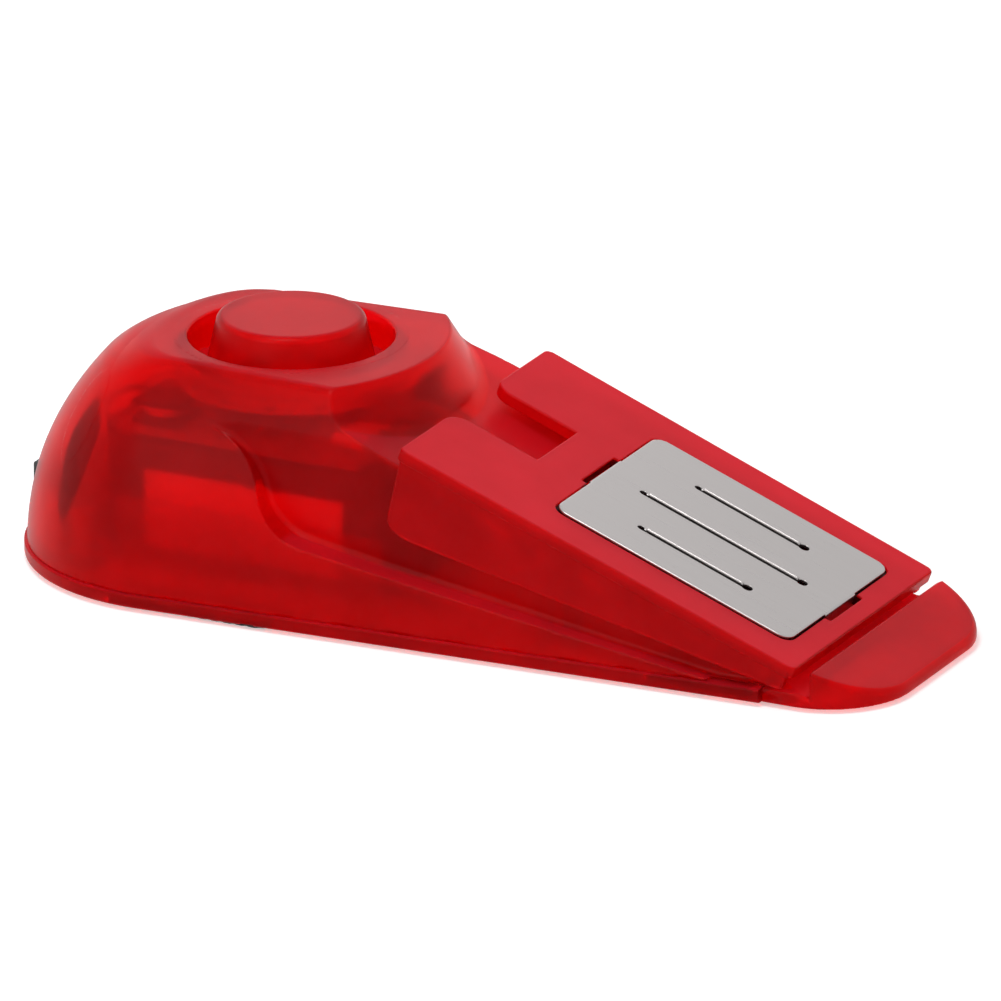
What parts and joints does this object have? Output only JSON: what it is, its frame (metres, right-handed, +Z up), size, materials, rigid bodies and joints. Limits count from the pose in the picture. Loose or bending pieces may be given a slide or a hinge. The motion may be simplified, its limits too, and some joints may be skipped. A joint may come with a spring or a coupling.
{
  "type": "door stop alarm",
  "caption": "Door stop alarm: a clear red plastic wedge with a siren in its rounded heel and a sprung flap with a steel plate that a door presses.",
  "frame": {"origin": "middle of the part's length and width, at the underside of the anti-slip pads", "axes": "+X towards the thin toe that goes under a door, +Z up"},
  "size_m": [0.142, 0.0552, 0.0381],
  "materials": {
    "clear_red": "clear, glossy",
    "black_plastic": "satin",
    "rubber": "matt",
    "foam": "matt",
    "sheet_steel": "satin",
    "zinc_steel": "satin",
    "brass_sheet": "satin",
    "ceramic": "matt",
    "board": "satin",
    "copper_wire": "satin",
    "battery_jacket": "satin",
    "beige_coating": "satin",
    "red_wire": "satin"
  },
  "bodies": {
    "case": {"upper_housing": "clear_red", "base_plate": "clear_red", "siren_cap": "clear_red", "piezo_retainer": "black_plastic", "trigger_switch_body": "black_plastic", "control_chip": "black_plastic", "transformer_core": "black_plastic", "driver_transistor": "black_plastic", "supply_capacitor": "black_plastic", "battery_snap": "black_plastic", "snap_lead_black": "black_plastic", "piezo_lead_black": "black_plastic", "switch_lead_1": "black_plastic", "switch_lead_2": "black_plastic", "trigger_lead_1": "black_plastic", "trigger_lead_2": "black_plastic", "rear_pad_left": "rubber", "rear_pad_right": "rubber", "front_pad": "rubber", "hinge_pin": "zinc_steel", "return_spring": "zinc_steel", "slide_switch_body": "zinc_steel", "battery_terminal_positive": "zinc_steel", "battery_terminal_negative": "zinc_steel", "case_screw_1": "zinc_steel", "case_screw_2": "zinc_steel", "case_screw_3": "zinc_steel", "case_screw_4": "zinc_steel", "board_screw_1": "zinc_steel", "board_screw_2": "zinc_steel", "piezo_disc": "brass_sheet", "piezo_ceramic": "ceramic", "circuit_board": "board", "switch_board": "board", "transformer_winding": "copper_wire", "battery": "battery_jacket", "resistor_1": "beige_coating", "resistor_2": "beige_coating", "resistor_3": "beige_coating", "snap_lead_red": "red_wire", "piezo_lead_red": "red_wire"},
    "flap": {"trigger_flap": "clear_red", "contact_plate": "sheet_steel"},
    "knob": {"switch_knob": "black_plastic"},
    "door": {"battery_door": "clear_red", "door_pad": "foam"},
    "plunger": {"trigger_plunger": "black_plastic"}
  },
  "joints": [
    {"name": "flap_hinge", "type": "hinge", "parent": "case", "child": "flap", "pos_m": [0.054, 0, 0.00471], "axis": [0, -1, 0], "range_deg": [0, 1.6], "stiffness_Nm_per_rad": 0.5, "springref_deg": -1.72, "deforming": ["return_spring"]},
    {"name": "plunger_slide", "type": "slide", "parent": "case", "child": "plunger", "axis": [0, 0, -1], "range_m": [0, 0.0013]},
    {"name": "switch_slide", "type": "slide", "parent": "case", "child": "knob", "axis": [0, 1, 0], "range_m": [0, 0.003]},
    {"name": "battery_door_hinge", "type": "hinge", "parent": "case", "child": "door", "pos_m": [-0.0108, 0, 0.0016], "axis": [0, -1, 0], "range_deg": [0, 90]}
  ],
  "couplings": [
    {"joint": "plunger_slide", "follows": "flap_hinge", "m_per_rad": 0.044}
  ]
}
